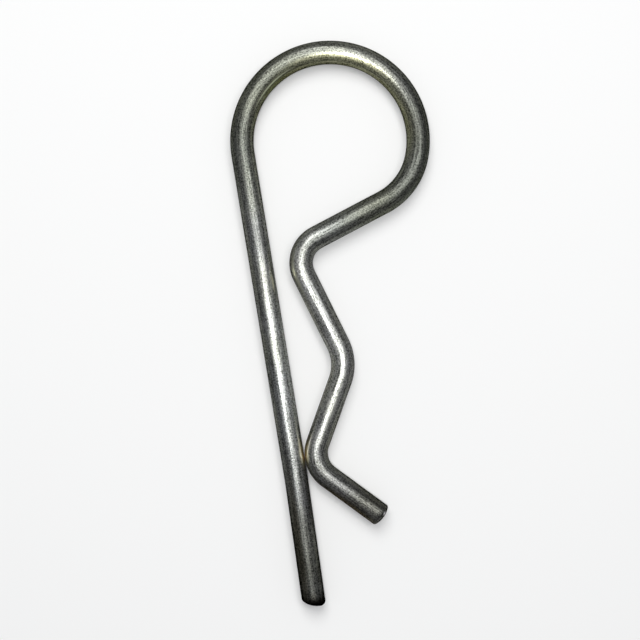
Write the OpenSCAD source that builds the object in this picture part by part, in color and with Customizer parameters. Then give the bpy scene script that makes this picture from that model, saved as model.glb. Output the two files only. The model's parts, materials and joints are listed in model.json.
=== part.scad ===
// R-clip, also called a hitch pin clip or hairpin cotter: one length of round spring wire,
// bent cold into an eye, a straight leg that goes through a cross-drilled shaft,
// and a sprung arm that wraps round the outside of the shaft.
//
// The origin is the centre of the seat, where the axis of a held shaft crosses the axis of the leg.
// +Y runs up the leg towards the eye, +X points from the leg to the arm,
// and +Z is square to the plane of the clip, along the held shaft.
// Angles are in degrees. Bend radii are to the inside of the wire.

/* [Wire] */
// Diameter of the spring wire
wire_d = 4; // [3.2:0.1:4.8]
// Overall length, from the top of the eye to the end of the leg
overall_l = 94.8; // [78:0.1:120]

/* [Eye] */
// Inside diameter of the eye
eye_d = 26; // [21.5:0.5:34]
// Turn of the eye's large arc, from the leg round to the tighter heel bend
eye_turn = 200.5; // [185:0.5:215]
// Inside radius of the heel bend, which turns the wire in from the eye to the shoulder
heel_in_r = 9; // [6:0.5:10]
// Angle from the leg to the shoulder, the straight run that crosses back to the leg
shoulder_angle = 71.5; // [60:0.5:80]

/* [Neck] */
// Clear gap between the leg and the neck, the bend where the arm turns down beside the leg
neck_gap = 2.7; // [1.5:0.1:4]
// Inside radius of the neck bend
neck_in_r = 2.8; // [2:0.1:4]

/* [Seat] */
// Diameter of the shaft that just fills the seat, with the leg through its centre
seat_d = 17.7; // [14.5:0.1:22]
// Angle between the leg and the run from the neck down to the crest
lead_angle = 17; // [14:0.5:21]
// Angle between the leg and the run from the crest back in to the nose
exit_angle = 29; // [24:0.5:35]
// Inside radius of the crest, the bend that stands farthest from the leg
crest_in_r = 6; // [4:0.5:6.5]

/* [Nose and tip] */
// Clear gap between the leg and the nose, the bend that closes the mouth of the seat
nose_gap = 0.1; // [0.1:0.1:1.5]
// Inside radius of the nose bend
nose_in_r = 3; // [2:0.1:4]
// Angle between the leg and the flared tip
flare_angle = 44.5; // [30:0.5:60]
// Length of the flared tip, from the nose bend to the end of the wire
tip_l = 11.7; // [7:0.1:16]

/* [Toe of the leg] */
// Length of the toe, the straight free end of the leg below the nose
toe_l = 20.5; // [8:0.5:30]
// Lean of the toe away from the arm
toe_angle = 1.2; // [0.2:0.1:5]
// Inside radius of the slight bend between the leg and its toe
toe_in_r = 100; // [40:10:200]

/* [Cut ends] */
// Radius of the shallow dome on each cut end
dome_r = 4; // [3.5:0.1:8]
// How far the dome of the leg's end stands off the wire's axis, towards the arm
leg_dome_shift = 1; // [0:0.1:1.2]
// Rounding of the edges of both ends, at most a quarter of the wire
edge_r = 0.9; // [0.2:0.1:1]

/* [Hidden] */
$fn = 64;

// Radii of the wire, and of the centrelines of its bends
wire_r = wire_d / 2;
eye_r = eye_d / 2 + wire_r;
heel_r = heel_in_r + wire_r;
neck_r = neck_in_r + wire_r;
crest_r = crest_in_r + wire_r;
nose_r = nose_in_r + wire_r;
toe_r = toe_in_r + wire_r;
seat_r = seat_d / 2 + wire_r;

// Bending draws the wire down by a hair, and each straight run reaches a hair into its bends.
draw_down = 0.01;
lap = 0.1;

// Direction of a run that goes down the clip at angle a to the leg, positive away from the leg
function heading(a) = [sin(a), -cos(a)];

// Normal of that run, on its side away from the leg
function normal(a) = [cos(a), sin(a)];

// Point at a given x on the line that runs at angle a and passes the origin at distance d
function on_line(x, a, d) = [x, (d - x * cos(a)) / sin(a)];

// Bend centres. The runs on both sides of the crest touch the circle of radius seat_r about the origin.
crest_c = (seat_r - crest_r) / cos((lead_angle + exit_angle) / 2)
    * normal((lead_angle - exit_angle) / 2);
neck_c = on_line(wire_d + neck_gap + neck_r, lead_angle, seat_r + neck_r);
nose_c = on_line(wire_d + nose_gap + nose_r, -exit_angle, seat_r + nose_r);

// The heel touches the eye's arc on its inside, and the shoulder touches the heel and the neck.
eye_to_heel = (eye_r - heel_r) * [-cos(eye_turn), sin(eye_turn)];
shoulder_d = normal(-shoulder_angle) * neck_c - neck_r;
heel_c = on_line(eye_r + eye_to_heel.x, -shoulder_angle, shoulder_d - heel_r);
eye_c = heel_c - eye_to_heel;
heel_turn = 180 + shoulder_angle - eye_turn;

// Lengths of the straight runs between the bends
shoulder_l = heading(-shoulder_angle) * (neck_c - heel_c);
lead_l = heading(lead_angle) * (crest_c - neck_c);
exit_l = heading(-exit_angle) * (nose_c - crest_c);

// Height where the leg gives way to its toe, and the leg's length from there up to the eye
toe_y = eye_c.y + eye_r + wire_r - overall_l + toe_l * cos(toe_angle) + toe_r * sin(toe_angle);
leg_l = eye_c.y - toe_y;

// Length of the short piece of wire that carries each cut end, and the rounding of its edge
end_l = dome_r;
end_edge_r = min(edge_r, wire_d / 4);

// The wire is drawn as a path. Each piece starts at its own origin and runs along +Y,
// and its children start at its far end.

// A plain piece of wire along the path
module rod(from, to) {
    translate([0, from, 0]) rotate([-90, 0, 0]) cylinder(h = to - from, r = wire_r);
}

// A straight run between two bends
module run(l) {
    rod(-lap, l + lap);
    translate([0, l, 0]) children();
}

// A bend to the left
module bend_left(r, turn) {
    translate([-r, 0, 0]) {
        rotate_extrude(angle = turn) translate([r, 0]) circle(r = wire_r - draw_down);
        rotate([0, 0, turn]) translate([r, 0, 0]) children();
    }
}

// A bend to the right
module bend_right(r, turn) {
    mirror([1, 0, 0]) bend_left(r, turn) mirror([1, 0, 0]) children();
}

// A cut end: a domed face with a rounded edge. The top of the dome is shift off the wire's axis.
module cut_end(shift) {
    intersection() {
        rotate([-90, 0, 0]) rotate_extrude() {
            square([wire_r - end_edge_r, end_l]);
            square([wire_r, end_l - end_edge_r]);
            translate([wire_r - end_edge_r, end_l - end_edge_r]) circle(r = end_edge_r);
        }
        translate([shift, 0, 0]) sphere(r = dome_r);
    }
}

// The last straight run before an end of the wire
module last_run(l, shift = 0) {
    rod(-lap, l - end_l);
    translate([0, l - end_l, 0]) cut_end(shift);
}

// The leg's toe, drawn down from the leg
module toe() {
    mirror([0, 1, 0]) bend_left(toe_r, toe_angle) last_run(toe_l, leg_dome_shift);
}

// The sprung arm, drawn from the end of the shoulder down to the flared tip
module arm() {
    bend_left(neck_r, shoulder_angle + lead_angle)
    run(lead_l)
    bend_right(crest_r, lead_angle + exit_angle)
    run(exit_l)
    bend_left(nose_r, exit_angle + flare_angle)
    last_run(tip_l);
}

// The whole clip, drawn both ways from the foot of the straight leg
module r_clip() {
    color("#6f6e62") translate([0, toe_y, 0]) {
        toe();
        run(leg_l)
        bend_right(eye_r, eye_turn)
        run(0)
        bend_right(heel_r, heel_turn)
        run(shoulder_l)
        arm();
    }
}

r_clip();
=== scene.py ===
"""An R-clip of plated spring wire, lying flat on a pale floor under soft studio light.

The CAD wire is replaced by a finer one: a straight wire is drawn and cut, then bent along the same path.
Sizes are in millimetres and degrees, as the clip is drawn, and mm() turns them to metres.
"""

import json
import math

import bmesh
import bpy
from mathutils import Matrix, Vector


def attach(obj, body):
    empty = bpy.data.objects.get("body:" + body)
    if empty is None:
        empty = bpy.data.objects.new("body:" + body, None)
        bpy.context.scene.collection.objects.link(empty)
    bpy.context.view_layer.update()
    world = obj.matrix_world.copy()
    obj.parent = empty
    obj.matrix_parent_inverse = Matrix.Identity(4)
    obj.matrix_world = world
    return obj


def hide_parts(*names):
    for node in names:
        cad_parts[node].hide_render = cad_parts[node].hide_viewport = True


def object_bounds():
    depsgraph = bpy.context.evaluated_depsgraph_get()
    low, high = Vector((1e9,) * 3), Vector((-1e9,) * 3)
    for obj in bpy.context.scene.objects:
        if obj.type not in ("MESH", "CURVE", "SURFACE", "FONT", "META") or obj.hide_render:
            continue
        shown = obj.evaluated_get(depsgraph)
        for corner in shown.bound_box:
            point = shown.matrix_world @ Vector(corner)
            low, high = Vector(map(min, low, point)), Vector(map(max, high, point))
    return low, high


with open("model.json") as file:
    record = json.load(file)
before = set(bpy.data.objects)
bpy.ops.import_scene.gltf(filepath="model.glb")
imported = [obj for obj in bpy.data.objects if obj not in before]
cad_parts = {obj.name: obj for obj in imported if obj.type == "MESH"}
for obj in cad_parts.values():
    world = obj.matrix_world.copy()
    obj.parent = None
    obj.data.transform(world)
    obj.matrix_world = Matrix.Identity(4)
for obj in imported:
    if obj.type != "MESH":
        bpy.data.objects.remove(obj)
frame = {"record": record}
cad_low, cad_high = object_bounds()
mounts = {m["name"]: m for m in frame["record"]["mounts"]}


def mm(value):
    """Millimetres as metres."""
    return value * 0.001


def sin(angle):
    return math.sin(math.radians(angle))


def cos(angle):
    return math.cos(math.radians(angle))


# ---- Camera: straight above the clip, which leans a little to the left in the picture ----

PICTURE_W = 108.92  # width of floor that the picture takes in, at the height of the wire's axis
LENS = 100.0
SENSOR = 36.0
LEAN = 9.33  # turn of the clip in the picture
OFF_CENTRE = Vector((-6.41, 0.56))  # from the middle of the clip to the middle of the picture


def add_camera():
    middle = (cad_low + cad_high) / 2
    camera = bpy.data.objects.new("camera", bpy.data.cameras.new("camera"))
    camera.data.lens = LENS
    camera.data.sensor_width = SENSOR
    camera.data.clip_start = mm(5)
    height = PICTURE_W * LENS / SENSOR
    camera.location = middle + Vector((mm(OFF_CENTRE.x), mm(OFF_CENTRE.y), mm(height)))
    camera.rotation_euler = (0, 0, math.radians(-LEAN))
    bpy.context.scene.collection.objects.link(camera)
    bpy.context.scene.camera = camera
    return camera


# ---- The path of the wire, from the toe of the leg to the flared tip ----

WIRE_R = mounts["leg"]["dims"]["r_mm"]
SEAT_R = mounts["shaft_seat"]["dims"]["r_mm"] + WIRE_R
EYE_R = mounts["eye"]["dims"]["r_mm"] + WIRE_R
HEEL_R = 9.0 + WIRE_R
NECK_R = 2.8 + WIRE_R
CREST_R = 6.0 + WIRE_R
NOSE_R = 3.0 + WIRE_R
TOE_R = 100.0 + WIRE_R

EYE_TURN = 200.5
SHOULDER_ANGLE = 71.5
LEAD_ANGLE = 17.0
EXIT_ANGLE = 29.0
FLARE_ANGLE = 44.5
TOE_ANGLE = 1.2

NECK_GAP = 2.7
NOSE_GAP = 0.0  # the nose rests on the leg, where the CAD wire keeps 0.1 mm to be one simple solid
TIP_L = 11.7
TOE_L = 20.5

DOME_R = 4.0  # the shallow dome of a cut end
LEG_DOME_SHIFT = 1.0  # the leg's dome is off the wire's axis, towards the arm
EDGE_R = 0.9
CORNER_R = 0.3  # the least rounding, where the dome alone reaches the wire's side


def heading(angle):
    """Direction of a run that goes down the clip at an angle to the leg."""
    return Vector((sin(angle), -cos(angle)))


def normal(angle):
    """Normal of that run, on its side away from the leg."""
    return Vector((cos(angle), sin(angle)))


def on_line(x, angle, distance):
    """Point at x on the line at that angle which passes the seat's centre at that distance."""
    return Vector((x, (distance - x * cos(angle)) / sin(angle)))


def solve_path():
    """Start of the wire's centreline, and its pieces as (length, turn to the left) from toe to tip."""
    crest_spread = (LEAD_ANGLE + EXIT_ANGLE) / 2
    crest = normal((LEAD_ANGLE - EXIT_ANGLE) / 2) * (SEAT_R - CREST_R) / cos(crest_spread)
    neck = on_line(2 * WIRE_R + NECK_GAP + NECK_R, LEAD_ANGLE, SEAT_R + NECK_R)
    nose = on_line(2 * WIRE_R + NOSE_GAP + NOSE_R, -EXIT_ANGLE, SEAT_R + NOSE_R)
    eye_to_heel = Vector((-cos(EYE_TURN), sin(EYE_TURN))) * (EYE_R - HEEL_R)
    shoulder_distance = normal(-SHOULDER_ANGLE).dot(neck) - NECK_R
    heel = on_line(EYE_R + eye_to_heel.x, -SHOULDER_ANGLE, shoulder_distance - HEEL_R)
    eye = heel - eye_to_heel
    toe_end = cad_low.y * 1000 + LEG_DOME_SHIFT * sin(TOE_ANGLE) + DOME_R * (1 - cos(TOE_ANGLE))
    toe_foot = toe_end + TOE_L * cos(TOE_ANGLE) + TOE_R * sin(TOE_ANGLE)
    start = Vector((-TOE_R * (1 - cos(TOE_ANGLE)) - TOE_L * sin(TOE_ANGLE), toe_end))

    def run(length):
        return length, 0.0

    def bend(radius, turn):
        return radius * math.radians(abs(turn)), turn

    return start, (
        run(TOE_L),
        bend(TOE_R, TOE_ANGLE),
        run(eye.y - toe_foot),
        bend(EYE_R, -EYE_TURN),
        bend(HEEL_R, EYE_TURN - SHOULDER_ANGLE - 180),
        run(heading(-SHOULDER_ANGLE).dot(neck - heel)),
        bend(NECK_R, SHOULDER_ANGLE + LEAD_ANGLE),
        run(heading(LEAD_ANGLE).dot(crest - neck)),
        bend(CREST_R, -LEAD_ANGLE - EXIT_ANGLE),
        run(heading(-EXIT_ANGLE).dot(nose - crest)),
        bend(NOSE_R, EXIT_ANGLE + FLARE_ANGLE),
        run(TIP_L),
    )


path_start, path_pieces = solve_path()
WIRE_L = sum(length for length, turn in path_pieces)


def on_path(along):
    """Point and heading (degrees from +X) of the centreline at a length along the wire."""
    point = path_start.copy()
    angle = 90 - TOE_ANGLE
    for length, turn in path_pieces:
        part = min(along, length)
        turned = turn * part / length
        shortening = sin(turned / 2) / math.radians(turned / 2) if turned else 1
        middle = angle + turned / 2
        point += Vector((cos(middle), sin(middle))) * part * shortening
        angle += turned
        along -= part
        if along <= 0:
            break
    return point, angle


# ---- The wire: drawn straight along +Y, cut at both ends, and bent ----

DRAWN_R = WIRE_R - 0.012  # a hair thinner than the CAD wire, to stay inside it
AROUND = 48
RING_STEP = 0.4
END_L = 1.5  # the last bit of wire, which the oblique cut reaches into
CUT_SLOT = 1  # material slot of the cut ends
CAP_RINGS = (1.0, 0.985, 0.96, 0.92, 0.86, 0.78, 0.68, 0.56, 0.42, 0.26, 0.1)  # shares of the radius
FACE_SHARE = 0.56  # inside this ring the end is a bare cut face, and outside it a plated edge
SHARP_ANGLE = 30  # faces that meet at more than this keep a crisp edge


def rounding(x, z, radius):
    """How far a flat end's rounded edge lies behind its face, at a point across the wire."""
    past_flat = max(0.0, math.hypot(x, z) - (WIRE_R - radius))
    return radius - math.sqrt(radius**2 - past_flat**2)


def cut_depth(x, z, shift):
    """How far a cut end's face lies behind the top of its dome, at a point across the wire."""
    dome = DOME_R - math.sqrt(DOME_R**2 - (x - shift) ** 2 - z**2)
    return max(dome + rounding(x, z, CORNER_R), rounding(x, z, EDGE_R))


def next_ring(bm, ring, place):
    """Extrudes an open ring of edges, and puts each new vertex where place says. Returns the new ring."""
    made = bmesh.ops.extrude_edge_only(bm, edges=ring)["geom"]
    verts = {g for g in made if isinstance(g, bmesh.types.BMVert)}
    for v in verts:
        v.co = place(v.co)
    return [g for g in made if isinstance(g, bmesh.types.BMEdge) and set(g.verts) <= verts]


def cut_end(bm, ring, end, outward, shift=0.0):
    """Closes the straight wire at one end with a domed cut face."""
    for share in CAP_RINGS:
        def place(co):
            x, z = Vector((co.x, co.z)).normalized() * DRAWN_R * share
            return Vector((x, end - outward * cut_depth(x, z, shift), z))
        ring = next_ring(bm, ring, place)
        if share == FACE_SHARE:
            plated = set(bm.faces)
    face = bmesh.ops.contextual_create(bm, geom=ring)["faces"]
    bmesh.ops.poke(bm, faces=face)
    for face in set(bm.faces) - plated:
        face.material_index = CUT_SLOT


def straight_wire():
    bm = bmesh.new()
    bmesh.ops.create_circle(bm, segments=AROUND, radius=DRAWN_R)
    bmesh.ops.rotate(bm, verts=bm.verts, matrix=Matrix.Rotation(math.pi / 2, 3, "X"))
    bmesh.ops.translate(bm, verts=bm.verts, vec=(0, END_L, 0))
    toe_ring = bm.edges[:]
    steps = round((WIRE_L - 2 * END_L) / RING_STEP)
    step = Vector((0, (WIRE_L - 2 * END_L) / steps, 0))
    ring = toe_ring
    for _ in range(steps):
        ring = next_ring(bm, ring, lambda co: co + step)
    cut_end(bm, ring, WIRE_L, 1)
    cut_end(bm, toe_ring, 0.0, -1, LEG_DOME_SHIFT)
    bmesh.ops.recalc_face_normals(bm, faces=bm.faces)
    return bm


def bend_wire(bm):
    """Keeps each point's place in the straight wire as an attribute, then bends the wire along its path."""
    straight = bm.verts.layers.float_vector.new("straight_wire")
    around = bm.loops.layers.uv.new("around_and_along")
    for face in bm.faces:
        turns = [math.atan2(loop.vert.co.z, loop.vert.co.x) / math.tau for loop in face.loops]
        for loop, turn in zip(face.loops, turns):
            over_seam = 1 if max(turns) - turn > 0.5 else 0  # a face across the seam stays in one piece
            loop[around].uv = (turn + over_seam, loop.vert.co.y / WIRE_L)
    for v in bm.verts:
        v[straight] = v.co
        point, angle = on_path(v.co.y)
        across = Vector((sin(angle), -cos(angle))) * v.co.x
        v.co = Vector((point.x + across.x, point.y + across.y, v.co.z)) * mm(1)


def add_wire(*materials):
    bm = straight_wire()
    bend_wire(bm)
    mesh = bpy.data.meshes.new("wire")
    bm.to_mesh(mesh)
    bm.free()
    for polygon in mesh.polygons:
        polygon.use_smooth = True
    mesh.set_sharp_from_angle(angle=math.radians(SHARP_ANGLE))
    wire = bpy.data.objects.new("wire", mesh)
    for material in materials:
        wire.data.materials.append(material)
    bpy.context.scene.collection.objects.link(wire)
    return wire


# ---- Materials ----


def colour(code):
    """An sRGB hex colour as linear RGBA."""
    parts = [int(code[i:i + 2], 16) / 255 for i in (1, 3, 5)]
    return [p / 12.92 if p <= 0.04045 else ((p + 0.055) / 1.055) ** 2.4 for p in parts] + [1.0]


def add(tree, kind, sockets=None, **settings):
    """Adds a node. A value in sockets is a number or colour, or the socket that it comes from."""
    node = tree.nodes.new(kind)
    for name, value in settings.items():
        setattr(node, name, value)
    for name, value in (sockets or {}).items():
        if isinstance(value, bpy.types.NodeSocket):
            tree.links.new(value, node.inputs[name])
        else:
            node.inputs[name].default_value = value
    return node


def new_material(name):
    material = bpy.data.materials.new(name)
    material.use_nodes = True
    material.node_tree.nodes.clear()
    return material, material.node_tree


FULL_SHARE = 0.2  # the part of a mark's reach in which it is at its full strength


def stain_and_light_share(tree, straight, along, side, length, width):
    """Share of a mark, a stain or a patch of painted light and shade: 1 in its middle and 0 outside it.
    side is its place across the wire, (x, z).
    """
    middle = (side[0], along, side[1])
    nearby = add(tree, "ShaderNodeVectorMath", {0: straight, 1: middle}, operation="SUBTRACT")
    scaled = add(tree, "ShaderNodeVectorMath", {
        0: nearby.outputs["Vector"], 1: (1 / width, 1 / length, 1 / width)}, operation="MULTIPLY")
    reach = add(tree, "ShaderNodeVectorMath", {0: scaled.outputs["Vector"]}, operation="LENGTH")
    share = add(tree, "ShaderNodeMapRange", {
        "Value": reach.outputs["Value"], "From Min": 1.0, "From Max": FULL_SHARE},
        interpolation_type="SMOOTHSTEP")
    return share.outputs["Result"]


ALL_ROUND = 60.0  # a stain this wide goes round the whole wire

# Stains, and painted light and shade, on the plating: place along the wire, place across it (x, z), length,
# width, colour and action.
# MULTIPLY dulls and tints, DODGE brightens and keeps the grain, and MIX covers it. Order matters.
STAINS_AND_PAINTED_LIGHT = (
    (124.0, (-1.55, 1.26), 455.0, 1.0, "#d3d3d0", "MULTIPLY"),  # painted shade along the outside of the clip
    (43.0, (1.5, 1.33), 26.0, 2.4, "#aeb0b1", "DODGE"),  # painted light: brighter inside, on the leg,
    (107.0, (0.7, 1.87), 16.0, 0.95, "#c8c6b9", "DODGE"),  # round the eye
    (124.5, (1.32, 1.5), 14.0, 1.45, "#bcbaac", "DODGE"),
    (103.0, (1.03, 1.72), 22.0, 0.95, "#959486", "DODGE"),
    (157.0, (0.68, 1.88), 12.0, 1.0, "#b0afb1", "DODGE"),  # on the neck, the eye's start and the arm
    (74.0, (0.6, 1.9), 12.0, 1.0, "#8c8e8c", "DODGE"),
    (171.0, (1.64, 1.15), 26.0, 1.8, "#a9a7a4", "DODGE"),
    (192.0, (1.88, 0.67), 9.0, 1.9, "#aeada6", "DODGE"),
    (140.0, (-1.89, 0.66), 22.0, 1.7, "#b0b2b4", "DODGE"),  # painted light, brighter outside the heel
    (38.0, (-0.95, 1.76), 45.0, 1.75, "#dfe1e4", "MULTIPLY"),  # painted shade on the leg's outer side
    (11.0, (-1.05, 1.7), 23.0, 0.95, "#dcd6c6", "MULTIPLY"),
    (150.0, (0.34, 1.97), 8.0, 2.6, "#dadcdd", "MULTIPLY"),  # and on the shoulder
    (-5.0, (0, 0), 42.0, ALL_ROUND, "#c6c6c4", "MULTIPLY"),  # darker towards the toe, partly painted shade
    (0.0, (2.0, 0), 28.0, 2.4, "#7c7c78", "MULTIPLY"),  # painted shade down both sides
    (2.0, (-2.0, 0), 32.0, 2.5, "#686158", "MULTIPLY"),
    (0.0, (0, 0), 3.4, ALL_ROUND, "#6c6862", "MULTIPLY"),  # and nearly black at its end
    (0.0, (0, 0), 1.5, ALL_ROUND, "#302e2b", "MULTIPLY"),
    (2.0, (0.1, 2.0), 1.9, 0.9, "#a4a29c", "DODGE"),  # with a painted highlight on top
    (87.0, (0, 0), 30.0, ALL_ROUND, "#c8cac3", "MULTIPLY"),  # darker on both sides of the eye, partly painted shade
    (133.0, (0, 0), 29.0, ALL_ROUND, "#acaea7", "MULTIPLY"),
    (212.0, (0, 0), 26.0, ALL_ROUND, "#b4b3b0", "MULTIPLY"),  # and at the tip
    (104.0, (1.9, 0.6), 34.0, 2.7, "#fbf9da", "MULTIPLY"),  # yellow cast inside the eye
    (203.0, (1.9, 0.4), 8.0, 2.2, "#fff0dc", "MULTIPLY"),  # brown along one side of the tip
    (92.0, (1.7, 1.0), 5.0, 1.2, "#fafce8", "MULTIPLY"),  # olive inside the eye
    (91.5, (1.3, 1.52), 7.0, 0.24, "#dfe4c0", "MIX"),  # and a painted reflection in it, a fine pale line
    (55.4, (1.55, 1.26), 2.0, 0.34, "#fffce4", "MIX"),  # painted glint on the leg, by the neck
    (160.3, (1.42, 1.41), 4.6, 0.66, "#ccccb8", "MIX"),  # and a pale patch on the neck
    (26.0, (1.85, 0.8), 3.2, 1.4, "#b4ae92", "MIX"),  # painted reflected light, tan, on both sides of the nose's rest
    (192.4, (1.85, 0.8), 2.8, 1.4, "#b0a890", "MIX"),
    (26.5, (1.5, 1.32), 2.6, 0.28, "#fafaf2", "MIX"),  # with a painted reflection, a bright line, over the gap on each side
    (29.0, (1.5, 1.32), 5.0, 0.2, "#b8b8ac", "MIX"),
    (191.6, (1.4, 1.43), 2.2, 0.25, "#f2efe6", "MIX"),
    (25.3, (2.0, 0.4), 1.3, 0.8, "#c4b08e", "MIX"),  # and painted brown reflected light where the two touch
    (193.0, (2.0, 0.4), 1.3, 0.8, "#c4b08e", "MIX"),
    (208.75, (-0.6, 1.35), 0.6, 0.55, "#f0eef2", "MIX"),  # a painted highlight on the tip's rounded edge
)

# Sizes of the patterns on the wire, across it and along it, in millimetres.
GRAIN = (0.22, 0.26)  # drawn coarser than a real plating's grain, to show
DRAW_LINES = (0.25, 6.0)  # lines along the wire, also drawn coarser than real
PATCHES = (5.0, 9.0)  # a slight yellow cast that comes and goes
LINES_IN_SPECK = 0.37  # how much of the speckle is lines, and the rest grain
PIT_DEPTH = 0.013
LINE_DEPTH = 0.02
TEAR = 0.4  # grain of the sheared steel
TEAR_DEPTH = 0.1


def plated_spring_wire():
    """Cold drawn spring steel with thin, dull plating: a dark grey metal with a fine speckle.

    It shines in a band that runs along the wire, because the die's lines spread the light across it. Its
    colour also holds painted highlights, reflections and shade, from the table of marks above.
    """
    material, tree = new_material("dull_zinc_plated_spring_wire")
    straight = add(tree, "ShaderNodeAttribute", attribute_name="straight_wire").outputs["Vector"]

    patterns = []
    for (across, along), detail in ((GRAIN, 1.0), (DRAW_LINES, 1.0), (PATCHES, 3.0)):
        place = add(tree, "ShaderNodeMapping", {
            "Vector": straight, "Scale": (1 / across, 1 / along, 1 / across)}).outputs["Vector"]
        noise = add(tree, "ShaderNodeTexNoise", {"Vector": place, "Scale": 1.0, "Detail": detail})
        patterns.append(noise.outputs["Fac"])
    grain, lines, patches = patterns

    speck = add(tree, "ShaderNodeMix", {"Factor": LINES_IN_SPECK, "A": grain, "B": lines}).outputs["Result"]
    speck_share = add(tree, "ShaderNodeMapRange", {
        "Value": speck, "From Min": 0.37, "From Max": 0.63}).outputs["Result"]
    tint = add(tree, "ShaderNodeMix", {
        "Factor": speck_share, "A": colour("#464745"), "B": colour("#abacaa")},
        data_type="RGBA").outputs["Result"]
    patch_share = add(tree, "ShaderNodeMapRange", {
        "Value": patches, "From Min": 0.35, "From Max": 0.65}).outputs["Result"]
    tint = add(tree, "ShaderNodeMix", {
        "Factor": patch_share, "A": tint, "B": colour("#fffff5")},
        data_type="RGBA", blend_type="MULTIPLY").outputs["Result"]
    # Real stains, and also painted highlights, reflections and shade, go into the plating's colour here.
    for along, side, length, width, hue, action in STAINS_AND_PAINTED_LIGHT:
        tint = add(tree, "ShaderNodeMix", {
            "Factor": stain_and_light_share(tree, straight, along, side, length, width), "A": tint, "B": colour(hue)},
            data_type="RGBA", blend_type=action).outputs["Result"]

    pits = add(tree, "ShaderNodeBump", {
        "Height": grain, "Strength": 1.0, "Distance": mm(PIT_DEPTH)}).outputs["Normal"]
    relief = add(tree, "ShaderNodeBump", {
        "Height": lines, "Strength": 1.0, "Distance": mm(LINE_DEPTH), "Normal": pits}).outputs["Normal"]
    drawn = add(tree, "ShaderNodeTangent", direction_type="UV_MAP",
                uv_map="around_and_along").outputs["Tangent"]
    metal = add(tree, "ShaderNodeBsdfPrincipled", {
        "Base Color": tint,
        "Metallic": 1.0,
        "Specular Tint": colour("#202020"),
        "Roughness": 0.307,
        "Anisotropic": 0.72,
        "Tangent": drawn,
        "Normal": relief,
    })
    add(tree, "ShaderNodeOutputMaterial", {"Surface": metal.outputs["BSDF"]})
    return material


def sheared_end():
    """Cut faces of the wire: bare steel that the shear tore, rough and mottled, and dark at the toe."""
    material, tree = new_material("sheared_steel_end")
    straight = add(tree, "ShaderNodeAttribute", attribute_name="straight_wire").outputs["Vector"]
    torn = add(tree, "ShaderNodeTexNoise", {
        "Vector": straight, "Scale": 1 / TEAR, "Detail": 4.0}).outputs["Fac"]
    steel = add(tree, "ShaderNodeMix", {
        "Factor": torn, "A": colour("#24231f"), "B": colour("#8c8a84")}, data_type="RGBA").outputs["Result"]
    toe = stain_and_light_share(tree, straight, 0.0, (0, 0), 4.0, ALL_ROUND)
    tint = add(tree, "ShaderNodeMix", {
        "Factor": toe, "A": steel, "B": colour("#34322e")},
        data_type="RGBA", blend_type="MULTIPLY").outputs["Result"]
    relief = add(tree, "ShaderNodeBump", {
        "Height": torn, "Strength": 1.0, "Distance": mm(TEAR_DEPTH)}).outputs["Normal"]
    metal = add(tree, "ShaderNodeBsdfPrincipled", {
        "Base Color": tint, "Metallic": 1.0, "Roughness": 0.55, "Normal": relief})
    add(tree, "ShaderNodeOutputMaterial", {"Surface": metal.outputs["BSDF"]})
    return material


LAMPS_REACH = 90.0  # the floor shows only its own lit colour up to this far from the part's origin
ALL_BACKGROUND = 260.0  # and only the plain background's colour past this far


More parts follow.
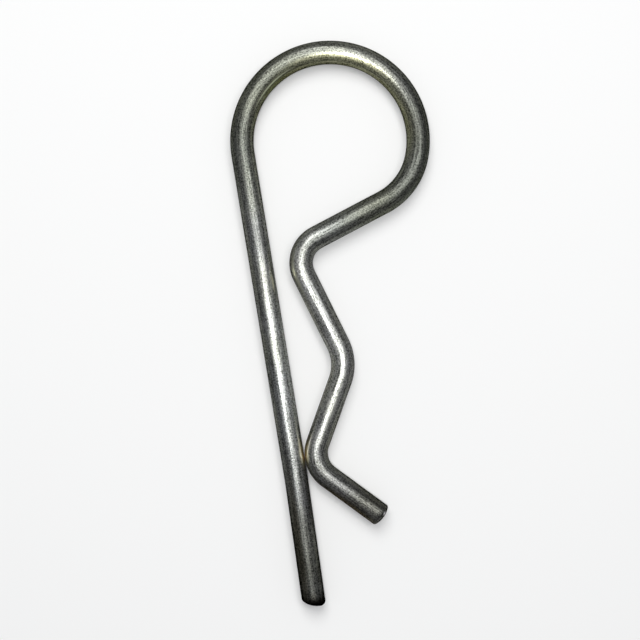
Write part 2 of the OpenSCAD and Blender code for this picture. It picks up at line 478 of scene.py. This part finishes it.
def pale_floor():
    """Matt white board. Past the lamps' reach it is seen, and mirrored, as bright as near them."""
    material, tree = new_material("matt_white_board")
    white = colour("#f7f7f5")
    board = add(tree, "ShaderNodeBsdfDiffuse", {"Color": white}).outputs["BSDF"]
    background = add(tree, "ShaderNodeEmission", {"Color": white, "Strength": 1.0}).outputs["Emission"]
    place = add(tree, "ShaderNodeTexCoord").outputs["Object"]
    distance = add(tree, "ShaderNodeVectorMath", {0: place}, operation="LENGTH").outputs["Value"]
    far = add(tree, "ShaderNodeMapRange", {
        "Value": distance, "From Min": mm(LAMPS_REACH), "From Max": mm(ALL_BACKGROUND)},
        interpolation_type="SMOOTHSTEP").outputs["Result"]
    ray = add(tree, "ShaderNodeLightPath").outputs
    mirrored = add(tree, "ShaderNodeMath", {
        0: ray["Is Glossy Ray"], 1: ray["Is Transmission Ray"]}, operation="MAXIMUM").outputs["Value"]
    seen = add(tree, "ShaderNodeMath", {
        0: ray["Is Camera Ray"], 1: mirrored}, operation="MAXIMUM").outputs["Value"]
    share = add(tree, "ShaderNodeMath", {0: far, 1: seen}, operation="MULTIPLY").outputs["Value"]
    surface = add(tree, "ShaderNodeMixShader", {0: share, 1: board, 2: background}).outputs["Shader"]
    add(tree, "ShaderNodeOutputMaterial", {"Surface": surface})
    return material


# ---- Floor and light ----

FLOOR_W = 8000.0
WORLD_LIGHT = 0.25


def add_floor(material):
    mesh = bpy.data.meshes.new("floor")
    bm = bmesh.new()
    bmesh.ops.create_grid(bm, x_segments=1, y_segments=1, size=mm(FLOOR_W / 2))
    bmesh.ops.translate(bm, verts=bm.verts, vec=(0, 0, cad_low.z))
    bm.to_mesh(mesh)
    bm.free()
    floor = bpy.data.objects.new("floor", mesh)
    floor.data.materials.append(material)
    bpy.context.scene.collection.objects.link(floor)
    return floor


def add_softbox(name, place, width, watts):
    """A round softbox aimed at the middle of the picture. place is across, up and above it."""
    light = bpy.data.lights.new(name, "AREA")
    light.shape = "DISK"
    light.size = mm(width)
    light.energy = watts
    lamp = bpy.data.objects.new(name, light)
    offset = Matrix.Rotation(math.radians(-LEAN), 3, "Z") @ Vector(place) * mm(1)
    lamp.location = Vector((camera.location.x, camera.location.y, 0)) + offset
    lamp.rotation_euler = offset.to_track_quat("Z", "Y").to_euler()
    lamp.visible_camera = False
    bpy.context.scene.collection.objects.link(lamp)


def set_world():
    world = bpy.data.worlds.new("studio")
    bpy.context.scene.world = world
    world.use_nodes = True
    background = world.node_tree.nodes["Background"]
    background.inputs["Color"].default_value = colour("#f4f6ff")
    background.inputs["Strength"].default_value = WORLD_LIGHT


# ---- The scene ----

bpy.context.scene.view_settings.view_transform = "Standard"
camera = add_camera()
set_world()
add_softbox("key", place=(-20, -20, 500), width=60, watts=0.72)
add_softbox("back", place=(-40, 255, 428), width=350, watts=1.25)
add_softbox("side", place=(170, 50, 467), width=170, watts=0.34)

floor = add_floor(pale_floor())

wire = add_wire(plated_spring_wire(), sheared_end())
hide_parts("r_clip")
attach(wire, "root")
